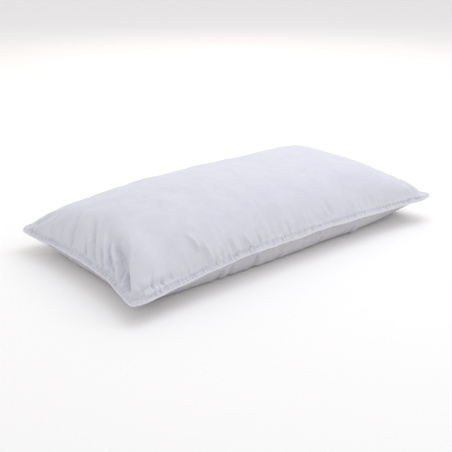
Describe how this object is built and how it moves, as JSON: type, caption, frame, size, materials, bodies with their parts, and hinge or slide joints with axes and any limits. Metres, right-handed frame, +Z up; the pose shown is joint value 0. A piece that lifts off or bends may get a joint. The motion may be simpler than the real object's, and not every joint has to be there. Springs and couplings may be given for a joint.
{
  "type": "bed pillow",
  "caption": "Long feather bed pillow: two crowned cotton panels, piped and double-stitched all round, pulled to flat ears at the corners.",
  "frame": {"origin": "centre of the bounding box on the plane the pillow rests on", "axes": "+X along the long side, +Y along the short side, +Z up"},
  "size_m": [0.8744, 0.4816, 0.16],
  "materials": {
    "cotton_ticking": "fine close plain weave, slight sheen",
    "feather_and_down": "loose feathers and down",
    "bias_strip": "bias-cut plain weave",
    "piping_cord_cotton": "soft twisted cotton",
    "white_thread": "spun thread"
  },
  "bodies": {
    "root": {"top_panel": "cotton_ticking", "bottom_panel": "cotton_ticking", "feather_filling": "feather_and_down", "piping_cover": "bias_strip", "piping_cord": "piping_cord_cotton", "seam_needle_thread": "white_thread", "seam_bobbin_thread": "white_thread", "topstitch_needle_thread": "white_thread", "topstitch_bobbin_thread": "white_thread"}
  },
  "joints": []
}
